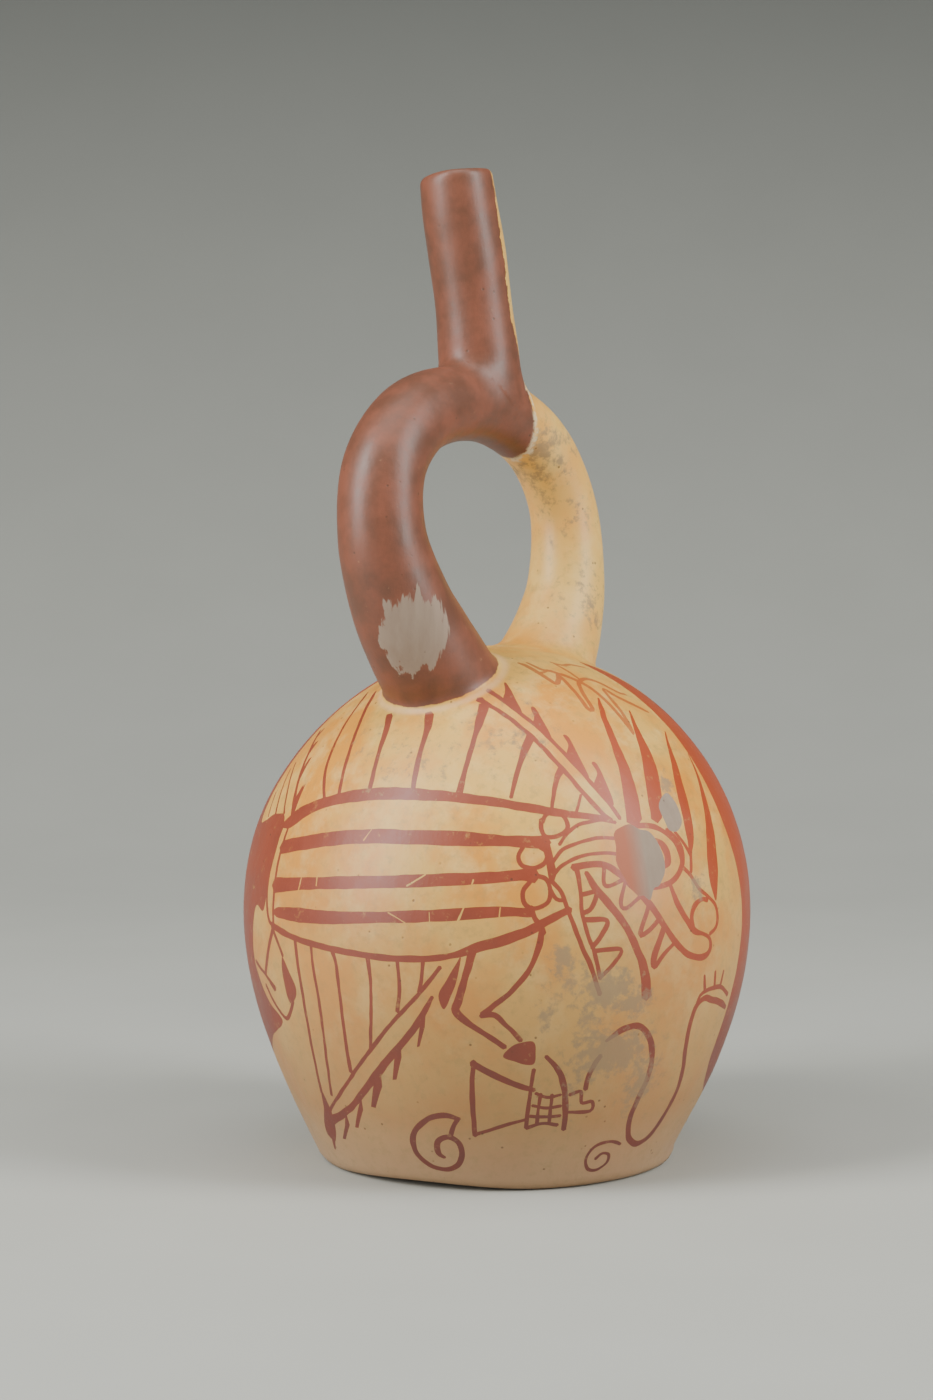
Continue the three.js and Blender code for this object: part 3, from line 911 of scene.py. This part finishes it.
# Patterns, each scaled from the size in mm of what it stands for. The grit is finer than half a
# millimetre on the real wall; it is drawn at 0.9 mm so that it shows.
patterns = []
for size, detail, coarse, spread in (
    (30, 4, 0.6, object_place), (11, 5, 0.65, object_place), (3.2, 5, 0.7, object_place),
    (0.9, 3, 0.6, object_place), (2.4, 3, 0.6, drawn_out),
):
    inputs = {"Vector": spread, "Scale": 1000 / size, "Detail": detail, "Roughness": coarse}
    patterns.append(add(tree, "ShaderNodeTexNoise", inputs).outputs[0])
clouds, patches, mottle, grit, streaks = patterns
pore_inputs = {"Vector": object_place, "Scale": 1000 / 4.2, "Randomness": 1.0}
pores = add(tree, "ShaderNodeTexVoronoi", pore_inputs).outputs["Distance"]

# Marks that the skin carries, and their edges in mm, made ragged by a pattern
mark = {}
for title in ("slip", *marks):
    mark[title] = add(tree, "ShaderNodeAttribute", attribute_name=title).outputs["Fac"]
edge = {}
for title, pattern, reach, shift in (
    ("dark", mottle, 5.0, -2.5), ("handle", mottle, 1.6, -1.3), ("patch", streaks, 1.1, -0.55),
    ("stained", mottle, 2.4, -1.25),
):
    ragged = add(tree, "ShaderNodeMath", {0: pattern, 1: reach, 2: shift}, operation="MULTIPLY_ADD").outputs[0]
    edge[title] = add(tree, "ShaderNodeMath", {0: mark[title], 1: ragged}, operation="ADD").outputs[0]
beside_dark = add(tree, "ShaderNodeMath", {0: edge["dark"]}, operation="ABSOLUTE").outputs[0]
near_joint = add(tree, "ShaderNodeMath", {0: mark["handle"], 1: 1.5}, operation="ADD").outputs[0]
near_joint = add(tree, "ShaderNodeMath", {0: near_joint}, operation="ABSOLUTE").outputs[0]

# How far each finish or sign of wear shows: as its source goes from start to end, it goes from least
# to most. Heights above the ground are in metres.
share = {}
for title, source, start, end, least, most in (
    ("open pores", pores, 0.11, 0.06, 0, 0.7),
    ("pitted", patches, 0.47, 0.56, 0, 1),
    ("warm", clouds, 0.42, 0.58, 0, 1),
    ("rubbed", patches, 0.5, 0.68, 0, 0.55),
    # low: the cream darkens towards the bottom, partly painted shade for the weaker light low on the body
    ("low", above_ground, 0.11, 0.02, 0, 0.85),
    ("foot", above_ground, 0.022, 0.004, 0, 0.5),
    ("pale handle", mark["handle"], 0.0, 6.0, 0, 0.35),
    ("handled", mottle, 0.5, 0.68, 0, 0.6),
    # red tone: the red slip is darker and more purple towards the bottom
    ("fired", above_ground, 0.0, 0.09, 0, 0.45),
    ("worn", mottle, 0.6, 0.74, 0.04, 0.6),
    ("dark cloud", patches, 0.4, 0.62, 0, 1),
    ("scuffed", mottle, 0.66, 0.74, 0, 0.35),
    ("in dark slip", edge["dark"], 0.0, 0.25, 0, 1),
    ("on tube", edge["handle"], 0.0, 0.3, 0, 1),
    ("rim", beside_dark, 1.3, 0.6, 0, 0.85),
    ("below spout", above_ground, 0.234, 0.229, 0, 1),
    ("flaked", mottle, 0.44, 0.54, 0, 1),
    ("joint line", near_joint, 1.5, 0.4, 0, 0.3),
    ("redder", mark["turn"], 35.5, 30.5, 0, 0.85),
    ("patch", edge["patch"], 0.0, 0.06, 0, 0.92),
    ("stain", edge["stained"], 0.15, 0.5, 0, 0.72),
    ("sheen", patches, 0.3, 0.7, 0.37, 0.5),
):
    inputs = {"Value": source, "From Min": start, "From Max": end, "To Min": least, "To Max": most}
    share[title] = add(tree, "ShaderNodeMapRange", inputs).outputs[0]

# Finishes that show only where two of these meet, or on one side of a limit
under_dark = add(tree, "ShaderNodeMath", {0: mark["dark"], 1: 0.0}, operation="GREATER_THAN").outputs[0]
is_painted = add(tree, "ShaderNodeMath", {0: mark["slip"], 1: 1.0}, operation="MINIMUM", use_clamp=True).outputs[0]
is_bare = add(tree, "ShaderNodeMath", {0: mark["slip"], 1: -0.5}, operation="LESS_THAN").outputs[0]
is_filled = add(tree, "ShaderNodeMath", {0: mark["slip"], 1: 1.5}, operation="GREATER_THAN").outputs[0]
for title, first, second in (
    ("pits", share["open pores"], share["pitted"]),
    ("smudged", share["handled"], clouds),
    ("dark slip", share["in dark slip"], share["on tube"]),
    ("joint line", share["joint line"], under_dark),
):
    share[title] = add(tree, "ShaderNodeMath", {0: first, 1: second}, operation="MULTIPLY").outputs[0]
for limit in ("on tube", "below spout", "flaked"):
    inputs = {0: share["rim"], 1: share[limit]}
    share["rim"] = add(tree, "ShaderNodeMath", inputs, operation="MULTIPLY").outputs[0]
fired = add(tree, "ShaderNodeMath", {0: share["fired"], 1: mark["bright"]}, operation="ADD").outputs[0]
cloudy = add(tree, "ShaderNodeMath", {0: patches, 1: 0.6, 2: -0.3}, operation="MULTIPLY_ADD").outputs[0]
fired = add(tree, "ShaderNodeMath", {0: fired, 1: cloudy}, operation="ADD", use_clamp=True).outputs[0]

# Each coat begins with two tones that run into one another: cream slip, orange-buff where it is thick;
# red slip, purple-brown where it is thick and low, orange-red high on the right; the handle's dark
# slip, dense and a little violet; and the restorer's plaster, toned taupe
coats = []
for blend, one, other in (
    (share["warm"], "d68f30", "d6a74e"), (fired, "67332f", "a03c1c"), (share["dark cloud"], "66402f", "7c4834"),
    (streaks, "8a7664", "a08e7c"),
):
    inputs = {0: blend, 6: colour(one), 7: colour(other)}
    coats.append(add(tree, "ShaderNodeMix", inputs, data_type="RGBA").outputs[2])
cream_slip, red_slip, dark_slip, plaster = coats
# The cream is paler where it was rubbed and on the handle; darker and duller low down, partly painted shade for the
# weaker light there; pinker at the foot; and smudged
for title, tint in (
    ("rubbed", "e0bc70"), ("low", "9d7650"), ("foot", "b3967a"), ("pale handle", "e4bf6c"), ("smudged", "86754c"),
):
    inputs = {0: share[title], 6: cream_slip, 7: colour(tint)}
    cream_slip = add(tree, "ShaderNodeMix", inputs, data_type="RGBA").outputs[2]
red_slip = add(tree, "ShaderNodeMix", {0: share["worn"], 6: red_slip, 7: cream_slip}, data_type="RGBA").outputs[2]
inputs = {0: share["scuffed"], 6: dark_slip, 7: colour("b98a63")}
dark_slip = add(tree, "ShaderNodeMix", inputs, data_type="RGBA").outputs[2]
# The plaster is redder where it meets the drawing's left side
inputs = {0: share["redder"], 6: plaster, 7: colour("b06043")}
red_plaster = add(tree, "ShaderNodeMix", inputs, data_type="RGBA").outputs[2]

# The coats over the cream slip, in the order in which they lie
seen = cream_slip
for cover, coat in (
    (is_painted, red_slip),
    (share["stain"], colour("8a7459")),
    (share["joint line"], colour("e0b892")),
    (share["dark slip"], dark_slip),
    (share["rim"], colour("dcc8a0")),
    (is_filled, red_plaster),
    (share["patch"], plaster),
    (is_bare, colour("a56f4c")),
    (share["pits"], colour("4b3423")),
):
    seen = add(tree, "ShaderNodeMix", {0: cover, 6: seen, 7: coat}, data_type="RGBA").outputs[2]

# Silky where burnished, matt where filled, brushed over, bare or soaked
half_matt = add(tree, "ShaderNodeMath", {0: share["stain"], 1: 0.5}, operation="MULTIPLY").outputs[0]
matt = is_filled
for finish in (share["patch"], is_bare, half_matt):
    matt = add(tree, "ShaderNodeMath", {0: matt, 1: finish}, operation="MAXIMUM").outputs[0]
rough = add(tree, "ShaderNodeMix", {0: matt, 2: share["sheen"], 3: 0.85}, data_type="FLOAT").outputs[0]

# Pebble marks, mottle, grit and pores stand a few hundredths of a millimetre high
relief = 0.0
for pattern, rise in ((streaks, 0.5), (mottle, 0.55), (grit, 0.22), (share["pits"], -0.6)):
    relief = add(tree, "ShaderNodeMath", {0: pattern, 1: rise, 2: relief}, operation="MULTIPLY_ADD").outputs[0]
bumped = add(tree, "ShaderNodeBump", {"Strength": 0.35, "Distance": 0.0003, "Height": relief}).outputs[0]
shader_inputs = {"Base Color": seen, "Roughness": rough, "Normal": bumped, "IOR": 1.5}
shader = add(tree, "ShaderNodeBsdfPrincipled", shader_inputs)
add(tree, "ShaderNodeOutputMaterial", {"Surface": shader.outputs[0]})

bottle.data.materials.clear()
bottle.data.materials.append(burnished)
bottle.data.polygons.foreach_set("use_smooth", [True] * len(bottle.data.polygons))
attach(bottle, "root")
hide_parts("stirrup_bottle")


# ---- Floor, light and camera -----------------------------------------------------------------------
# The bottle stands on a sheet of matt grey paper that curves up behind it, between two soft lights, in
# front of a long lens a little above its shoulder.

away, rightwards = Vector(ahead), Vector(sidewards)
bend_angle = np.linspace(0, math.pi / 2, 25)
sweep = [(-2.2, 0.0)] + [(0.5 + 0.9 * math.sin(a), 0.9 - 0.9 * math.cos(a)) for a in bend_angle] + [(1.4, 2.6)]
sheet = [away * u + rightwards * side + Vector((0, 0, z)) for u, z in sweep for side in (-2.2, 2.2)]
sheet_faces = [(2 * i, 2 * i + 1, 2 * i + 3, 2 * i + 2) for i in range(len(sweep) - 1)]
floor_mesh = bpy.data.meshes.new("paper_floor")
floor_mesh.from_pydata(sheet, [], sheet_faces)
floor_mesh.polygons.foreach_set("use_smooth", [True] * len(floor_mesh.polygons))
floor = bpy.data.objects.new("paper_floor", floor_mesh)
bpy.context.scene.collection.objects.link(floor)
# Matt background paper: dull, with a faint tooth, and painted shade that darkens it towards the top
paper = bpy.data.materials.new("matt_grey_paper")
paper.use_nodes = True
paper_tree = paper.node_tree
paper_shader = paper_tree.nodes["Principled BSDF"]
paper_shader.inputs["Roughness"].default_value = 0.95
tooth_place = add(paper_tree, "ShaderNodeTexCoord").outputs["Object"]
tooth_inputs = {"Vector": tooth_place, "Scale": 1000 / 60, "Detail": 2}
tooth = add(paper_tree, "ShaderNodeTexNoise", tooth_inputs).outputs[0]
grey_inputs = {0: tooth, 6: colour("a5a69e"), 7: colour("abaca4")}
grey = add(paper_tree, "ShaderNodeMix", grey_inputs, data_type="RGBA").outputs[2]
paper_height = add(paper_tree, "ShaderNodeSeparateXYZ", {0: tooth_place}).outputs[2]
# Painted shade: the paper turns darker grey with height, as if less light reached it
painted_backdrop_shade_inputs = {"Value": paper_height, "From Min": 0.0, "From Max": 0.5}
painted_backdrop_shade = add(paper_tree, "ShaderNodeMapRange", painted_backdrop_shade_inputs).outputs[0]
grey = add(paper_tree, "ShaderNodeMix", {0: painted_backdrop_shade, 6: grey, 7: colour("5e605c")}, data_type="RGBA").outputs[2]
paper_tree.links.new(grey, paper_shader.inputs["Base Color"])
floor.data.materials.append(paper)

world = bpy.data.worlds.new("studio")
bpy.context.scene.world = world
world.use_nodes = True
world.node_tree.nodes["Background"].inputs["Color"].default_value = colour("a4a8a6")
world.node_tree.nodes["Background"].inputs["Strength"].default_value = 0.45


def soft_light(name, place, aim, width, height, power):
    light = bpy.data.lights.new(name, "AREA")
    light.shape, light.size, light.size_y, light.energy = "RECTANGLE", width, height, power
    obj = bpy.data.objects.new(name, light)
    obj.location = place
    obj.rotation_euler = (Vector(aim) - Vector(place)).to_track_quat("-Z", "Y").to_euler()
    bpy.context.scene.collection.objects.link(obj)


soft_light("left_light", (-0.95, 0.43, 0.72), (0, 0, 0.22), 0.42, 1.3, 24)
soft_light("right_light", (0.22, -1.02, 0.7), (0, 0, 0.2), 0.4, 1.25, 19)
soft_light("top_light", (-0.2, -0.15, 1.5), (0, 0, 0.1), 1.0, 1.0, 9)

pitch = math.radians(5.98)
camera = bpy.data.objects.new("camera", bpy.data.cameras.new("camera"))
camera.location = (-0.9307, -0.6654, 0.2538)
looking = away * math.cos(pitch) - Vector((0, 0, math.sin(pitch)))
camera.rotation_euler = looking.to_track_quat("-Z", "Y").to_euler()
camera.data.lens = 101.5
camera.data.sensor_width = 36
bpy.context.scene.collection.objects.link(camera)
bpy.context.scene.camera = camera
